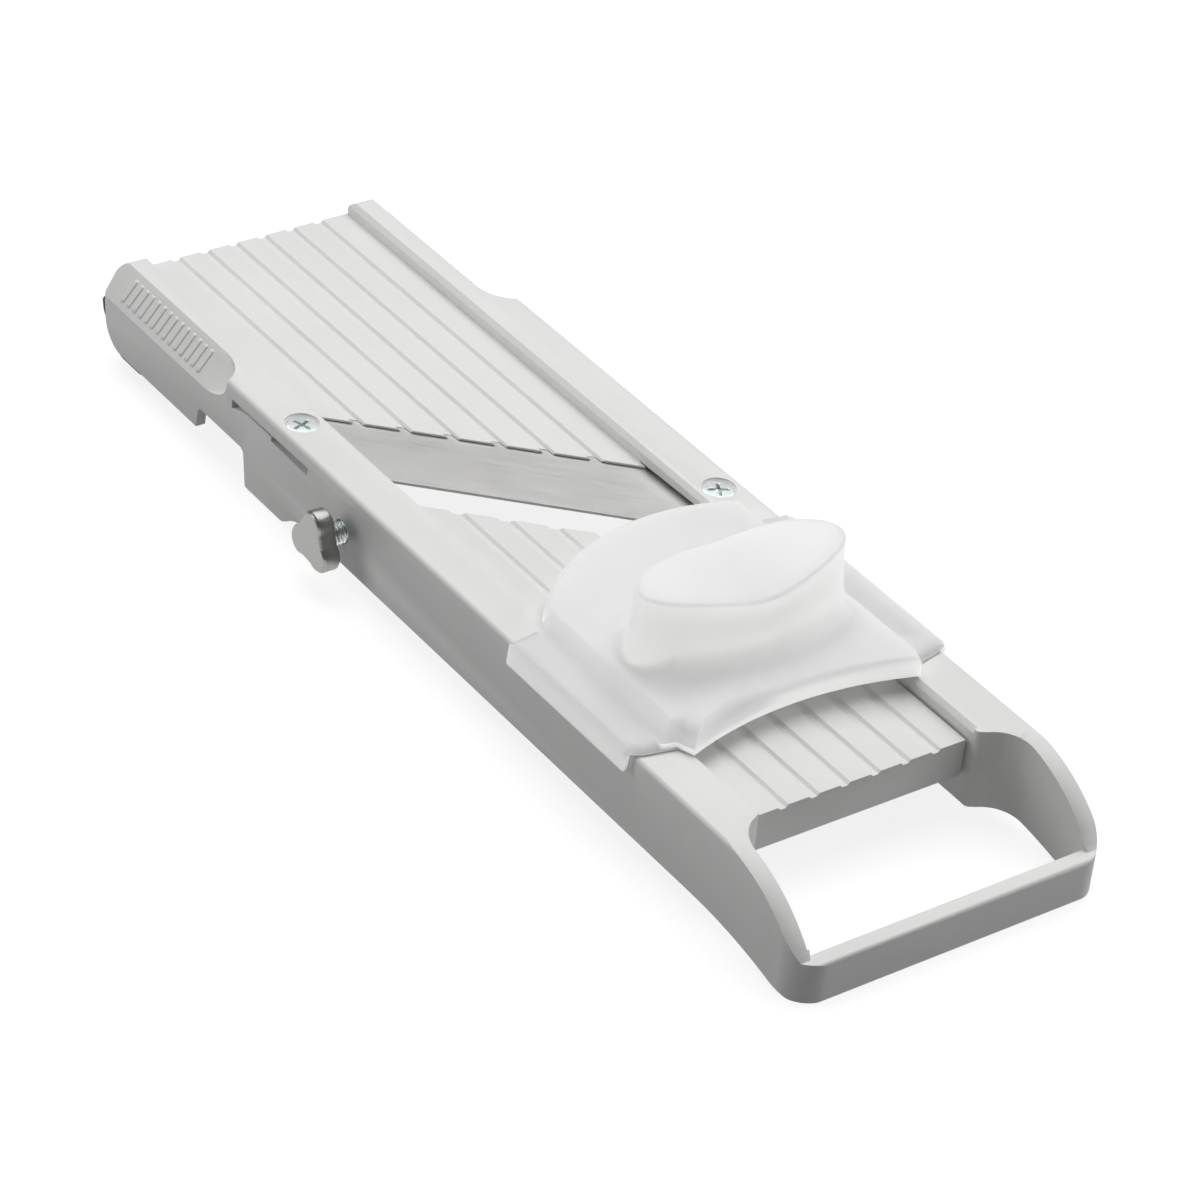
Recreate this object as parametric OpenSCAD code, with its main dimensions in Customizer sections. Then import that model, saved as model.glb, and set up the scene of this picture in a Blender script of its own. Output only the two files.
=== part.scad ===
// Hand-held mandoline slicer with an adjustable near plate, a slanted blade,
// a side clamp for comb blades and a sliding hand guard.
// Every "distance" runs from the handle's outer face towards the far end (+Y).

/* [Body] */
// Length from the handle's outer face to the far end of the rails
body_len = 313.5; // [300:0.5:330]
// Half of the width across the rails
rail_half = 45.5; // [44:0.5:48]
// Half of the width of the food channel between the rails
channel_half = 32; // [31:0.25:33]
// Height of the rail tops above the surface that the slicer rests on
rail_top = 27; // [26:0.5:30]
// Height of the lower edge of the side walls
wall_low = 5; // [4:0.25:6]

/* [Handle] */
// Thickness of the handle bar, front to back
bar_t = 4.5; // [4:0.25:6]
// Height of the handle bar
bar_h = 11; // [9:0.5:12]
// Thickness of the handle's two side arms
arm_t = 4.7; // [4.2:0.1:5.5]
// Distance to the far side of the finger opening
grip_len = 36; // [34:0.5:37]

/* [Plates] */
// Distance to the front face of the adjustable plate
plate_front = 39.6; // [39:0.1:41]
// Height of the adjustable plate's top, set for the thinnest slices
plate_top = 23; // [22.5:0.1:23.2]
// Height of the far plate's top
far_top = 23; // [22.5:0.1:23.2]
// Spacing of the food grooves
groove_pitch = 9; // [8:0.25:9.25]

/* [Blade] */
// Distance to the cutting edge on the centre line
edge_mid = 167.1; // [166:0.1:168]
// Slant of the blade against the width, in degrees
blade_slant = 43.2; // [42:0.1:44]
// Width of the blade, cutting edge to back
blade_w = 26.5; // [25:0.5:27]
// Thickness of the blade
blade_t = 1; // [0.8:0.1:1.2]
// Height of the cutting edge
edge_top = 23.3; // [23:0.1:23.6]
// Tilt of the blade down towards its back, in degrees
blade_tilt = 2.4; // [2:0.1:4]

/* [Guard] */
// Height of the guard's raised middle above the rail tops
guard_rise = 6; // [5:0.5:7]
// Height of the guard's grip above the rail tops
grip_rise = 26.5; // [24:0.5:28]
// Half of the grip's length across the slicer
grip_a = 29.5; // [27:0.5:30]
// Half of the grip's width along the slicer
grip_b = 12.5; // [11:0.5:14]

/* [Hidden] */
$fn = 64;
over = 1;                                // how far a cut runs past the face that it opens
lap = 0.6;                               // how deep one moulded wall runs into another

white = "#ECECEB";
steel = "#BEBDBA";
brass = "#C9A24E";
rubber = "#4A4B45";

slant_k = tan(blade_slant);              // distance along the slicer per distance across it
far_edge_mid = edge_mid + 33.8;          // far plate's slanted edge, on the centre line
near_edge_mid = 155;                     // adjustable plate's slanted edge, on the centre line
arm_in = rail_half - arm_t;              // half of the width inside the arms
blade_x0 = -42.4;                        // blade's left end, inside the outer wall
wall_slot = 3;                           // depth of the opening in the left wall
blade_x1 = 42.6;                         // blade's right end, in its blind slot
slot_play = 0.15;                        // room above and below the blade

groove_w = 3;                            // groove width at the lands
groove_floor = 1.6;                      // groove width at its floor
groove_deep = 0.75;
grooves = [-2.5, -1.5, -0.5, 0.5, 1.5, 2.5];

screw_r = 2.5;
screw_head_r = 4.4;
screw_len = 13;
left_screw = [-38.9, 223.3];
right_screw = [39, 149.8];
insert_r = 3.6;
insert_len = 6.5;

foot_near = 224.6;                       // distance to the near end of each foot's flat
foot_far = 238.4;                        // distance to the far face of each foot
foot_rise = 210;                         // where the wall starts to drop to the foot
notch_top = 11.3;                        // ceiling of the bowl-rim notch
notch_far = 262.5;
nose_r = 9;                              // radius under the nose
nose_y = body_len - 11.5;
nose_wall = 2.6;
pad_proud = 1.8;                         // how far the rubber nose pad stands out of the nose
pad_far = body_len + 1.7;                // distance to the far face of its bumper
pad_near = 291;                          // distance to its near end
pad_high = 18;                           // height of its top
pad_half = 45.1;

cheek_half = 38.5;                       // half width of the rail tops beside the cheek pads
cheek_drop = 8.3;                        // how far the sloping pads fall
cheek_near = 249;                        // distance to the near tip of the pads
cheek_end = 12;                          // length of the pads' rounded near end

pivot_y = 44.5;
pivot_z = 17;
pivot_r = 1.5;
fit = 0.05;                              // radial clearance of every running fit

clamp_y = 192.8;
clamp_z = 14;
stud_r = 3;
clamp_skin = 3;                          // wall left outside the clamp's insert
clamp_gap = 4.7;                         // from the wall to the clamp's head
clamp_head_t = 5;
lobe_r = 4;
lobe_c = 4.7;                            // from the middle of a thumb screw to the middle of a lobe

adj_y = 118;
bridge_z = 9;                            // cross member that holds the thickness adjuster
bridge_t = 4;
adj_head_z = 3.5;
adj_head_t = 4;
cap_t = 3.5;
cap_r = 4.5;
plate_skin = 3;                          // thickness of the adjustable plate's top
cap_top = plate_top - plate_skin - 0.3;

guard_gap = 0.3;                         // guard's height above the rails it slides on
wing_t = 1.9;
lip_out = 47.8;
lip_in = 45.9;
lip_drop = 4.4;
shell_t = 2;
raised_half = 35;

// Points of an arc about [cx, cy], from angle a0 to angle a1 in n steps
function arc(cx, cy, r, a0, a1, n = 12) =
    [for (i = [0:n]) let (a = a0 + (a1 - a0) * i / n) [cx + r * cos(a), cy + r * sin(a)]];
// Outline, in the blade's own plane, between two distances behind the edge and two widths
function blade_pts(y0, y1, x0, x1) = let (c = cos(blade_slant), k = sin(blade_slant))
    [[(x0 - y0 * k) / c, y0], [(x1 - y0 * k) / c, y0], [(x1 - y1 * k) / c, y1], [(x0 - y1 * k) / c, y1]];

// The handle bar's mid-thickness is the origin, so distances move back by half of it
module place() translate([0, -bar_t / 2, 0]) children();
// A side-view outline (distance, height) drawn across a width centred on x
module across(w, x = 0) translate([x, 0, 0]) rotate([90, 0, 90])
    linear_extrude(w, center = true) children();
// A front-view outline (x, height) drawn from one distance to another
module along(y0, y1) translate([0, y1, 0]) rotate([90, 0, 0]) linear_extrude(y1 - y0) children();
// Children are drawn in the blade's own plane, with y running back from the cutting edge
module on_blade() translate([0, edge_mid, edge_top]) rotate([0, 0, -blade_slant])
    rotate([-blade_tilt, 0, 0]) children();

// Side view of rails, arms, feet, rim notch and nose
module side_outline() {
    foot_s = (pow(foot_near - foot_rise, 2) + pow(wall_low, 2)) / (4 * wall_low);
    foot_a = 2 * atan(wall_low / (foot_near - foot_rise));
    arm_r = 130;
    grip_r = 40;
    polygon(concat(
        arc(0.5, 0.5, 0.5, 180, 270, 4),
        arc(42, wall_low - arm_r, arm_r, 90 + acos((arm_r - wall_low) / arm_r), 90),
        arc(foot_rise, wall_low - foot_s, foot_s, 90, 90 - foot_a, 8),
        arc(foot_near, foot_s, foot_s, 270 - foot_a, 270, 8),
        arc(foot_far - 2, 2, 2, 270, 360, 6),
        arc(foot_far + 3.2, notch_top - 2, 2, 180, 90, 6),
        [[notch_far - 1, notch_top], [notch_far, notch_top - 1], [notch_far + 0.6, wall_low]],
        arc(nose_y, wall_low + nose_r, nose_r, 270, 360, 12),
        arc(body_len - 3, rail_top - 3, 3, 0, 90, 6),
        arc(35, rail_top - grip_r, grip_r, 90, 180 - asin((bar_h - rail_top + grip_r) / grip_r), 16),
        arc(1, bar_h - 1, 1, 90, 180, 4)));
}

// Plan view of the void inside the handle and between the rails
module inner_void() {
    big = 10;
    small = 1.6;
    half = concat([[0, bar_t], [0, body_len + over], [channel_half, body_len + over]],
        arc(channel_half + small, grip_len + small, small, 180, 250, 5),
        arc(arm_in - big, grip_len - big, big, 70, 0, 10), [[arm_in, bar_t]]);
    polygon(half);
    mirror([1, 0]) polygon(half);
}

// Plan view of the outside, with round corners at the handle and smaller ones at the far end
module outer_plan() {
    near = 8.5;
    far = 3;
    polygon(concat(arc(near - rail_half, near, near, 180, 270, 16),
        arc(rail_half - near, near, near, 270, 360, 16),
        arc(rail_half - far, body_len - far, far, 0, 90, 8),
        arc(far - rail_half, body_len - far, far, 90, 180, 8)));
}

// Front view of the outside, with rounded rail edges
module outer_section() {
    e = 1.2;
    polygon(concat(arc(rail_half - e, e, e, -90, 0, 4), arc(rail_half - e, rail_top - e, e, 0, 90, 4),
        arc(e - rail_half, rail_top - e, e, 90, 180, 4), arc(e - rail_half, e, e, 180, 270, 4)));
}

// Prism that trims the rail's outer top edge to the sloping, round-ended cheek pad
module cheek_cut() {
    fall = atan(cheek_drop / (rail_half - cheek_half));
    half = norm([rail_half - cheek_half, cheek_drop]) / 2;
    for (m = [0, 1]) mirror([m, 0, 0])
        translate([(rail_half + cheek_half) / 2, cheek_near + cheek_end, rail_top - cheek_drop / 2])
            rotate([0, fall, 0]) linear_extrude(12)
                polygon(concat([[half + 0.4, body_len], [-half, body_len]],
                    [for (a = [180:15:360]) [half * cos(a) + (a > 345 ? 0.4 : 0), cheek_end * sin(a)]]));
}

// Pockets moulded into the underside of the rails, which leave ribs at the screws.
// Each has its near end, its far end and the height of its roof, lower under the cheek pads.
module rail_pockets() {
    wall = 2.8;
    wide = rail_half - channel_half - 2 * wall;
    for (s = [-1, 1], pocket = [[48, 92, 21.5], [96, 136, 21.5], [167, 179, 21.5], [243, 296, 17]])
        translate([s * (channel_half + rail_half) / 2 - wide / 2, pocket[0], -over])
            cube([wide, pocket[1] - pocket[0], pocket[2] + over]);
}

// The blade, or the slot for it when some play is added below and above
module blade_slab(x0, x1, below = 0, above = 0) on_blade() translate([0, 0, -blade_t - below])
    linear_extrude(blade_t + below + above) polygon(blade_pts(-below, blade_w + below, x0, x1));

module groove_cuts(y0, y1, z) {
    for (g = grooves) translate([g * groove_pitch, 0, 0]) along(y0, y1)
        polygon([[-groove_floor / 2, z - groove_deep], [groove_floor / 2, z - groove_deep],
            [groove_w / 2, z], [groove_w / 2, z + over], [-groove_w / 2, z + over],
            [-groove_w / 2, z]]);
}

module screw_bore(at) translate([at[0], at[1], 0]) {
    translate([0, 0, rail_top - 0.4]) cylinder(r = screw_head_r + 0.15, h = over + 0.4);
    translate([0, 0, rail_top - 0.4 - 1.9]) cylinder(r1 = screw_r, r2 = screw_head_r, h = 1.9);
    translate([0, 0, rail_top - screw_len - 1]) cylinder(r = screw_r, h = screw_len);
}

module insert_pocket(at) translate([at[0], at[1], 19.5 - insert_len])
    cylinder(r = insert_r, h = insert_len);

module body_frame() place() color(white) {
    difference() {
        union() {
            difference() {
                intersection() {
                    linear_extrude(rail_top) outer_plan();
                    across(2 * rail_half) side_outline();
                    along(0, body_len) outer_section();
                }
                translate([0, 0, -over]) linear_extrude(rail_top + 2 * over) inner_void();
                along(grip_len + 2, body_len + over) polygon([[-channel_half, rail_top - 1.3],
                    [-channel_half - 1.1, rail_top + 0.01], [channel_half + 1.1, rail_top + 0.01],
                    [channel_half, rail_top - 1.3]]);
                rail_pockets();
                // the bar's top stays level between the arms
                translate([0, 0, bar_h]) linear_extrude(rail_top) polygon([[1 - arm_in, bar_t + over],
                    [arm_in - 1, bar_t + over], [arm_in + 1.5, -over], [-arm_in - 1.5, -over]]);
            }
            far_plate();
            blade_bed();
            nose_shell();
            bridge();
        }
        cheek_cut();
        blade_slab(blade_x0 - slot_play, blade_x1 + slot_play, slot_play, slot_play);
        blade_slab(channel_half - 0.2, blade_x1 + slot_play, slot_play, 0.9);
        // opening in the left wall that the blade slides in through
        across(2 * wall_slot, -rail_half) polygon([[209.5, 23.2], [246.2, 22.9], [246.2, 20.3],
            [243.8, 21.1], [241.8, 21.8], [238, 22.4], [227, 22.5], [227, 21.2], [209.5, 20.6]]);
        screw_bore(left_screw);
        screw_bore(right_screw);
        insert_pocket(left_screw);
        insert_pocket(right_screw);
        translate([-rail_half - over, clamp_y, clamp_z]) rotate([0, 90, 0])
            cylinder(r = stud_r + 0.3, h = clamp_skin + 2 * over);
        translate([clamp_skin - rail_half, clamp_y, clamp_z]) rotate([0, 90, 0])
            cylinder(r = insert_r + 0.4, h = rail_half - channel_half + over);
        for (s = [-1, 1]) translate([s * (channel_half + 1.4), pivot_y, pivot_z]) rotate([0, 90, 0])
            cylinder(r = pivot_r, h = 2.9, center = true);
        translate([0, adj_y, bridge_z - over]) cylinder(r = 4.6, h = bridge_t + 2 * over);
    }
}

// Grooved plate behind the blade, with two stiffening ribs below
module far_plate() {
    skin = 2.8;
    reach = channel_half + lap;
    difference() {
        translate([0, 0, far_top - skin]) linear_extrude(skin) polygon([
            [-reach, far_edge_mid + slant_k * reach], [reach, far_edge_mid - slant_k * reach],
            [reach, body_len], [-reach, body_len]]);
        groove_cuts(0, body_len + over, far_top);
    }
    for (x = [-16, 16]) translate([x - 0.8, 230, far_top - 7]) cube([1.6, 76, 5]);
}

// Shelf that carries the back of the blade
module blade_bed() on_blade() translate([0, 0, -5]) linear_extrude(5 - blade_t)
    polygon(blade_pts(7, 29, -channel_half - lap, channel_half + lap));

// Curved wall under the nose that the rubber pad sits on
module nose_shell() {
    inner = nose_r - nose_wall;
    across(2 * (rail_half - 2)) polygon(concat([[pad_near - 1.5, wall_low]],
        arc(nose_y, wall_low + nose_r, nose_r, 270, 360, 12),
        [[body_len - 0.6, far_top - 1.5], [body_len - 0.6 - nose_wall, far_top - 1.5]],
        arc(nose_y, wall_low + nose_r, inner, 360, 270, 12),
        [[pad_near - 1.5, wall_low + nose_wall]]));
}

// Rubber pad over the nose, with a bumper at its far end. Its inner face follows side_outline().
module pad_body() across(2 * pad_half) polygon(concat([[pad_near, wall_low - pad_proud]],
    arc(nose_y + 0.3, wall_low + nose_r, nose_r + pad_proud, 270, 345, 12),
    arc(pad_far - 2, wall_low + nose_r, 2, 300, 360, 5),
    arc(pad_far - 1.2, pad_high - 1.2, 1.2, 0, 90, 4), [[nose_y + nose_r + 1, pad_high]],
    arc(nose_y, wall_low + nose_r, nose_r, 360, 270, 12), [[pad_near, wall_low]]));

// Cross member that holds the thickness adjuster
module bridge() translate([-channel_half - lap, adj_y - 8, bridge_z])
    cube([2 * (channel_half + lap), 16, bridge_t]);

module adjust_plate() place() color(white) {
    half = channel_half - 0.5;
    skirt = 2.4;
    difference() {
        intersection() {
            translate([-half, plate_front, plate_top - 10.4]) cube([2 * half, 170, 10.4]);
            translate([0, 0, 0]) linear_extrude(rail_top) polygon([
                [-half, plate_front], [half, plate_front],
                [half, near_edge_mid - slant_k * half], [-half, near_edge_mid + slant_k * half]]);
        }
        // hollow underside, open below, behind the thick front block
        translate([skirt - half, 50, plate_top - 12]) cube([2 * (half - skirt), 150, 12 - plate_skin]);
        // the far end thins down to a wedge so that it can pass the blade
        translate([-half - over, 90, plate_top - 12]) cube([2 * half + 2 * over, 110, 12 - plate_skin - 3]);
        groove_cuts(plate_front - over, 200, plate_top);
        translate([0, pivot_y, pivot_z]) rotate([0, 90, 0])
            cylinder(r = pivot_r + fit, h = 2 * rail_half, center = true);
    }
    // long stiffening ribs
    for (x = [-18, 18]) translate([x - 0.8, 49, plate_top - 8]) cube([1.6, 56, 8 - plate_skin + 0.2]);
}

module pivot_rod() place() color(steel) translate([0, pivot_y, pivot_z]) rotate([0, 90, 0])
    cylinder(r = pivot_r, h = 2 * (channel_half + 2.8), center = true);

module main_blade() place() color(steel) difference() {
    blade_slab(blade_x0, blade_x1);
    // ground bevel below the cutting edge
    on_blade() translate([0, 0, -blade_t]) rotate([90, 0, 90]) linear_extrude(200, center = true)
        polygon([[-over, -over], [2.6, -over], [2.6, 0], [0, blade_t - 0.12],
            [-over, blade_t - 0.12]]);
    for (at = [left_screw, right_screw]) translate([at[0], at[1], 0])
        cylinder(r = screw_r, h = rail_top);
}

module blade_screw(at) place() color(steel) translate([at[0], at[1], rail_top - 0.4]) difference() {
    union() {
        translate([0, 0, -1.9]) cylinder(r1 = screw_r, r2 = screw_head_r, h = 1.9);
        translate([0, 0, -screw_len]) cylinder(r = screw_r, h = screw_len - 1.8);
    }
    for (a = [45, 135]) rotate([0, 0, a]) translate([-2.3, -0.5, -1.4]) cube([4.6, 1, 3]);
}
module blade_screw_left() blade_screw(left_screw);
module blade_screw_right() blade_screw(right_screw);

module blade_insert(at) place() color(brass) translate([at[0], at[1], 19.5 - insert_len])
    difference() {
        cylinder(r = insert_r, h = insert_len);
        translate([0, 0, -over]) cylinder(r = screw_r, h = insert_len + 2 * over);
    }
module blade_insert_left() blade_insert(left_screw);
module blade_insert_right() blade_insert(right_screw);

// Three round lobes joined by slightly hollow sides, with a blind bore for the stud
module trilobe(t) difference() {
    turn = 80;                              // angle from a lobe's tip to where a side meets it
    web_r = 0.95 * lobe_r;
    linear_extrude(t) {
        for (a = [90, 210, 330]) rotate(a) translate([lobe_c, 0]) circle(lobe_r);
        polygon([for (a = [90, 210, 330], s = [-turn, turn])
            [lobe_c * cos(a) + web_r * cos(a + s), lobe_c * sin(a) + web_r * sin(a + s)]]);
    }
    translate([0, 0, -over]) cylinder(r = stud_r + fit, h = t - 1.6 + over);
}

module clamp_head() place() color(steel)
    translate([-rail_half - clamp_gap, clamp_y, clamp_z]) rotate([0, -90, 0]) rotate([0, 0, 25])
        trilobe(clamp_head_t);
module clamp_stud() place() color(steel)
    translate([-rail_half - clamp_gap - clamp_head_t + 1.8, clamp_y, clamp_z]) rotate([0, 90, 0])
        cylinder(r = stud_r, h = clamp_gap + clamp_head_t - 1.8 + 7);
module clamp_insert() place() color(brass)
    translate([clamp_skin - rail_half, clamp_y, clamp_z]) rotate([0, 90, 0]) difference() {
        cylinder(r = insert_r + 0.4, h = rail_half - channel_half - clamp_skin);
        translate([0, 0, -over]) cylinder(r = stud_r + fit, h = 20);
    }

module adjuster_head() place() color(steel) translate([0, adj_y, adj_head_z + adj_head_t])
    rotate([180, 0, 0]) trilobe(adj_head_t);
module adjuster_stud() place() color(steel) translate([0, adj_y, adj_head_z + 1.8])
    cylinder(r = stud_r, h = cap_top - 1.6 - adj_head_z - 1.8);
module adjuster_insert() place() color(brass) translate([0, adj_y, bridge_z]) difference() {
    cylinder(r = 4.6, h = bridge_t);
    translate([0, 0, -over]) cylinder(r = stud_r + fit, h = bridge_t + 2 * over);
}
module thrust_cap() place() color(white) translate([0, adj_y, cap_top - cap_t]) difference() {
    cylinder(r = cap_r, h = cap_t);
    translate([0, 0, -over]) cylinder(r = stud_r + fit, h = cap_t - 1.5 + over);
}

module nose_pad() place() color(rubber) pad_body();

// Plan outline of the guard's raised middle, moved in by a wall thickness
function raised_pts(inset) = concat(
    arc(0, -38.8, 104.8 + inset, 90 + 18.6, 90 - 18.6, 12),
    [[raised_half - inset, 64.4 + inset], [raised_half - inset, 135.3 - inset]],
    arc(11, 82.2, 60 - inset, 65.5, 138.5, 16),
    [[inset - raised_half, 119 - inset], [inset - raised_half, 64.4 + inset]]);

module grip_slice(a, b, z) translate([0, 91.5, z]) linear_extrude(0.1)
    polygon([for (i = [0:39]) [a * cos(i * 9), b * sin(i * 9)]]);

// Solid body of the grip, or its hollow when it is drawn smaller by a wall
module grip_solid(wall, z0, z1) {
    hull() {
        grip_slice(grip_a + 5 - wall, grip_b + 5 - wall, z0);
        grip_slice(grip_a + 1.2 - wall, grip_b + 1.2 - wall, z0 + 4);
    }
    hull() {
        grip_slice(grip_a + 1.2 - wall, grip_b + 1.2 - wall, z0 + 4);
        grip_slice(grip_a - wall, grip_b - wall, z1 - 0.1);
    }
}

module guard_shell() place() color("#F2F2F2") {
    base = rail_top + guard_gap;
    deck = rail_top + guard_rise;
    difference() {
        union() {
            translate([0, 0, base]) linear_extrude(guard_rise - guard_gap) polygon(raised_pts(0));
            for (s = [-1, 1]) {
                far = s < 0 ? 117.5 : 131;
                translate([0, 0, base]) linear_extrude(wing_t) polygon([[s * (raised_half - 1), 65],
                    [s * 44, 66.2], [s * lip_out, 68.5], [s * lip_out, far],
                    [s * (raised_half - 1), far + 2]]);
                translate([s > 0 ? lip_in : -lip_out, 69, rail_top - lip_drop])
                    cube([lip_out - lip_in, far - 70, lip_drop + guard_gap + wing_t]);
            }
            grip_solid(0, deck - 0.2, rail_top + grip_rise);
        }
        translate([0, 0, base - over]) linear_extrude(guard_rise - guard_gap - shell_t + over)
            polygon(raised_pts(shell_t));
        grip_solid(shell_t, deck - shell_t - 0.3, rail_top + grip_rise - 3 - shell_t);
        // hollow for the palm
        translate([0, 91.5, rail_top + grip_rise + 76]) sphere(r = 79, $fn = 128);
    }
    // prongs that hold the food
    for (x = [-24:8:24], y = [72, 112, 119, 126])
        if (norm([x - 6, y - 88]) < 44)
            translate([x, y, base + 0.3])
                cylinder(r1 = 0.5, r2 = 1.3, h = guard_rise - guard_gap - shell_t + 0.2, $fn = 16);
}

body_frame();
adjust_plate();
pivot_rod();
main_blade();
blade_screw_left();
blade_screw_right();
blade_insert_left();
blade_insert_right();
clamp_head();
clamp_stud();
clamp_insert();
adjuster_head();
adjuster_stud();
adjuster_insert();
thrust_cap();
nose_pad();
guard_shell();
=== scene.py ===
# %% [markdown]
# # A hand-held mandoline slicer
#
# The slicer is a long white moulding with two rails. Food slides between the rails, over an
# adjustable plate, into a slanted steel blade, and a guard rides on the rails to keep fingers away.
#
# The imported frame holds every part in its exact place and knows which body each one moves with.
# This script gives the parts their looks. Simple parts keep the frame's mesh and get a finish. The
# parts that the eye rests on are made again, with softer edges, real threads and curved surfaces.
# Shapes are worked out in millimetres and enter their mesh in metres. +X is to the right, +Y away
# from the handle and +Z up, and the origin lies below the middle of the handle bar.

# %% Load the frame
import math

import bmesh
import bpy
import numpy as np
from mathutils import Matrix, Vector


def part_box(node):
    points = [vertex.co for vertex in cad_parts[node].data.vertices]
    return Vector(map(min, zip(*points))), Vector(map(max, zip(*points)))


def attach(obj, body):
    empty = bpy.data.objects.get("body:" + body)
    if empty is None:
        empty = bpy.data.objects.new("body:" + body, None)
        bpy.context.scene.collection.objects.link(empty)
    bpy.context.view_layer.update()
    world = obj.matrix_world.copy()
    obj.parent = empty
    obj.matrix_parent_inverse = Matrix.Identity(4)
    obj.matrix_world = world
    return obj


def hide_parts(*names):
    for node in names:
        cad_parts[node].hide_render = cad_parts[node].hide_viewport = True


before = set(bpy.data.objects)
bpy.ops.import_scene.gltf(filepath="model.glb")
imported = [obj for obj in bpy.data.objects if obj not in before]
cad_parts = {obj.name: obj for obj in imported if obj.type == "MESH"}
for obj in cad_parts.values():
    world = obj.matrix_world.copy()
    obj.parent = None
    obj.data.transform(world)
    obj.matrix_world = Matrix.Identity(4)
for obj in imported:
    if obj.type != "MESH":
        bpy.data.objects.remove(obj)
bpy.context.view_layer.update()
MM = 0.001


def node_box(node):
    """The lowest and the highest corner of a frame node, in millimetres to the nearest micron."""
    return np.round(np.array(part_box(node)) / MM, 3)


BODY_LOW, BODY_HIGH = node_box("body_frame")
HANDLE_MID = -BODY_LOW[1]
RAIL_TOP = BODY_HIGH[2]
print("the handle's middle is", HANDLE_MID, "mm from its near face, the rails are", RAIL_TOP, "mm high")

# %% [markdown]
# ## Camera
#
# The slicer is seen from the left of its handle and from above. A short lens close by would make
# the handle look huge and the far end tiny, so a long lens stands well back and the rails hardly
# narrow. Its direction is written as a turn round the object and a height above the horizon, which
# are easier to adjust than a rotation matrix. A roll about the lens's own axis leans the picture.

# %% Camera
EYE = Vector((-0.5705, -0.5779, 0.6408))
TURN, HEIGHT, ROLL = (math.radians(a) for a in (-38.42, 34.54, 6.15))
LENS_MM, SENSOR_MM = 134.35, 36

ahead = Vector((-math.sin(TURN) * math.cos(HEIGHT), math.cos(TURN) * math.cos(HEIGHT),
                -math.sin(HEIGHT)))
level_right = ahead.cross(Vector((0, 0, 1))).normalized()
right = Matrix.Rotation(-ROLL, 3, ahead) @ level_right
axes = Matrix((right, right.cross(ahead), -ahead)).transposed()
camera_data = bpy.data.cameras.new("camera")
camera_data.lens, camera_data.sensor_width = LENS_MM, SENSOR_MM
camera = bpy.data.objects.new("camera", camera_data)
camera.matrix_world = Matrix.Translation(EYE) @ axes.to_4x4()
bpy.context.scene.collection.objects.link(camera)
bpy.context.scene.camera = camera
print("the camera is", round(EYE.length, 3), "m from the handle")

# %% [markdown]
# ## Floor and lights
#
# White plastic shows its form only through soft differences of shade. Small lamps would cut hard
# shadows, so wide square lights are used. The main one hangs above and behind the slicer: tops are
# bright, while the near faces and the left wall fall into shade. Two fainter ones open the shade.
# The floor is hidden from diffuse rays, because so large a bright sheet would light every underside.

# %% Floor and lights
FLOOR_SIZE = 6.0
LIGHTS_AIM = Vector((0, 0.14, 0))
WORLD_STRENGTH = 0.12


def floor():
    """A square floor with its middle below the slicer's handle."""
    half = FLOOR_SIZE / 2
    mesh = bpy.data.meshes.new("floor")
    mesh.from_pydata([(-half, -half, 0), (half, -half, 0), (half, half, 0), (-half, half, 0)], [],
                     [(0, 1, 2, 3)])
    obj = bpy.data.objects.new("floor", mesh)
    obj.visible_diffuse = False
    bpy.context.scene.collection.objects.link(obj)
    return obj


def soft_light(name, place, size, watts):
    """A square light that faces the middle of the slicer."""
    data = bpy.data.lights.new(name, "AREA")
    data.size, data.energy = size, watts
    obj = bpy.data.objects.new(name, data)
    turn = (LIGHTS_AIM - Vector(place)).to_track_quat("-Z", "Y").to_matrix()
    obj.matrix_world = Matrix.Translation(place) @ turn.to_4x4()
    bpy.context.scene.collection.objects.link(obj)
    print(name, "light,", watts, "W from", size, "m")


ground = floor()
soft_light("overhead", place=(0.35, 0.55, 1.3), size=1.6, watts=19)
soft_light("left_back", place=(-1.2, 1.0, 0.55), size=0.8, watts=5)
soft_light("right_front", place=(1.2, -0.6, 0.6), size=0.8, watts=4)
world = bpy.data.worlds.new("studio")
world.use_nodes = True
background = world.node_tree.nodes["Background"]
background.inputs["Color"].default_value = (1, 1, 1, 1)
background.inputs["Strength"].default_value = WORLD_STRENGTH
bpy.context.scene.world = world
bpy.context.scene.view_settings.view_transform = "Standard"

# %% [markdown]
# ## Writing materials as sums
#
# A material is a small calculation: noise times an amount, plus a base value. Wiring it node by
# node works, but the sum is hard to see in it. So a socket is wrapped in a class whose operators
# add the Math nodes. Anything that isn't arithmetic goes through one method, which takes the kind
# of node, its settings and its inputs.

# %% A value in a material


class Value:
    """A number on its way through a material's nodes. Arithmetic on it adds Math nodes."""

    def __init__(self, finish, socket):
        self.finish, self.socket = finish, socket

    def math(self, operation, *numbers):
        return self.finish.node("ShaderNodeMath", {"operation": operation}, dict(enumerate(numbers)))

    def __add__(self, other):
        return self.math("ADD", self, other)

    def __sub__(self, other):
        return self.math("SUBTRACT", self, other)

    def __rsub__(self, other):
        return self.math("SUBTRACT", other, self)

    def __mul__(self, other):
        return self.math("MULTIPLY", self, other)

    def __abs__(self):
        return self.math("ABSOLUTE", self)

    __radd__, __rmul__ = __add__, __mul__


print("sums can be written with +, -, * and abs")

# %% [markdown]
# The material itself belongs to a second class. It starts from one Principled shader, which can
# imitate every finish on this slicer, so only the shader's inputs differ from one to the next.

# %% A finish


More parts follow.
